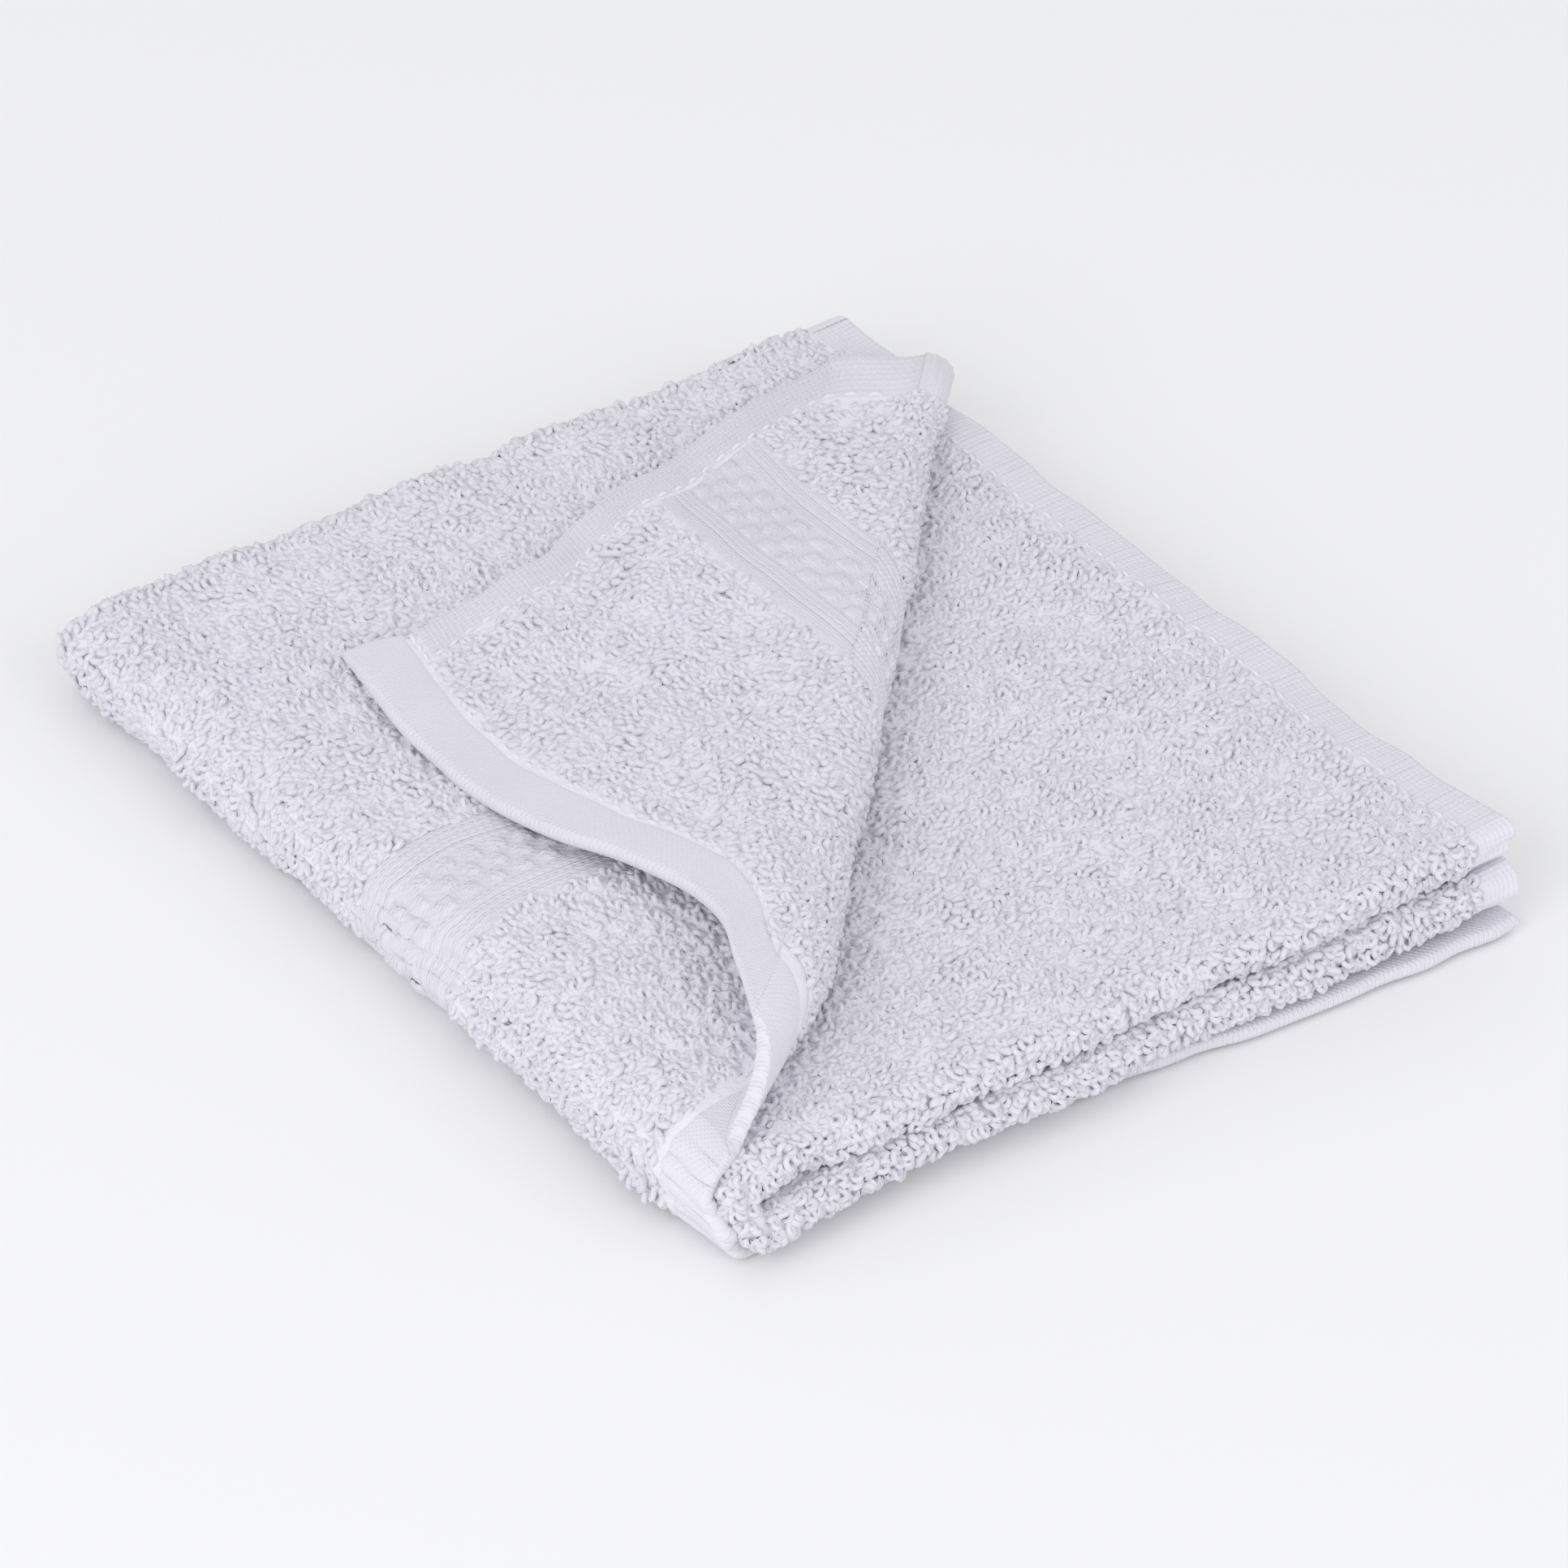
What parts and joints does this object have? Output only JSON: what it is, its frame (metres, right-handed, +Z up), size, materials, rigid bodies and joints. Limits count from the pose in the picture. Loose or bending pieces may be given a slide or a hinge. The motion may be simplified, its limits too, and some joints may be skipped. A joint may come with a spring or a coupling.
{
  "type": "guest towel",
  "caption": "Folded white cotton terry guest towel with hemmed ends, a woven border and one corner of the top layer turned back.",
  "frame": {"origin": "centre of the folded stack's footprint, on its underside", "axes": "+X from the half fold's spine to the side hems, +Y from the front edge, with the top layer's end hem, to the back edge, +Z up from the table"},
  "size_m": [0.15, 0.1666, 0.0273],
  "materials": {
    "terry_cloth": "white cotton terry with uncut loops",
    "side_hem_cloth": "doubled white cotton hem with fine ribs across it",
    "end_hem_cloth": "doubled flat-woven white cotton hem",
    "woven_border": "white cotton border with ribbed lines and a raised block weave",
    "sewing_thread": "white sewing thread"
  },
  "bodies": {
    "lower_half": {"bottom_end_hem": "end_hem_cloth", "bottom_end_terry": "terry_cloth", "bottom_border": "woven_border", "bottom_panel": "terry_cloth", "bottom_side_hem": "side_hem_cloth", "bottom_hem_stitching": "sewing_thread", "lower_back_fold": "terry_cloth", "lower_middle_panel": "terry_cloth", "lower_middle_side_hem": "side_hem_cloth", "lower_front_fold": "terry_cloth", "lower_inner_panel": "terry_cloth", "lower_inner_border": "woven_border", "lower_inner_end_terry": "terry_cloth", "lower_inner_end_hem": "end_hem_cloth", "lower_inner_side_hem": "side_hem_cloth", "outer_spine": "terry_cloth", "outer_spine_border": "woven_border", "outer_spine_end_terry": "terry_cloth", "outer_spine_end_hem": "end_hem_cloth", "middle_spine": "terry_cloth", "inner_spine": "terry_cloth", "spine_front_turn": "terry_cloth", "spine_back_turn": "terry_cloth"},
    "upper_half": {"upper_inner_panel": "terry_cloth", "upper_inner_border": "woven_border", "upper_inner_end_terry": "terry_cloth", "upper_inner_end_hem": "end_hem_cloth", "upper_inner_side_hem": "side_hem_cloth", "upper_front_fold": "terry_cloth", "upper_middle_panel": "terry_cloth", "upper_middle_side_hem": "side_hem_cloth", "upper_side_stitching": "sewing_thread", "upper_back_fold": "terry_cloth", "top_panel": "terry_cloth", "top_border": "woven_border", "top_end_terry": "terry_cloth", "top_end_hem": "end_hem_cloth", "top_side_hem": "side_hem_cloth", "corner_roll": "terry_cloth"},
    "turned_corner": {"corner_panel": "terry_cloth", "corner_border": "woven_border", "corner_end_terry": "terry_cloth", "corner_end_hem": "end_hem_cloth", "corner_side_hem": "side_hem_cloth", "corner_end_stitching": "sewing_thread", "corner_side_stitching": "sewing_thread", "corner_cross_stitch": "sewing_thread"}
  },
  "joints": [
    {"name": "half_fold", "type": "hinge", "parent": "lower_half", "child": "upper_half", "pos_m": [-0.0666, 0, 0.0084], "axis": [0, -1, 0], "range_deg": [0, 160], "deforming": ["outer_spine", "outer_spine_border", "outer_spine_end_terry", "outer_spine_end_hem", "middle_spine", "inner_spine", "spine_front_turn", "spine_back_turn"]},
    {"name": "corner_turn", "type": "hinge", "parent": "upper_half", "child": "turned_corner", "pos_m": [-0.0666, -0.07833, 0.0237], "axis": [0.7129, 0.7006, -0.0317], "range_deg": [0, 179], "deforming": ["corner_roll"]}
  ]
}
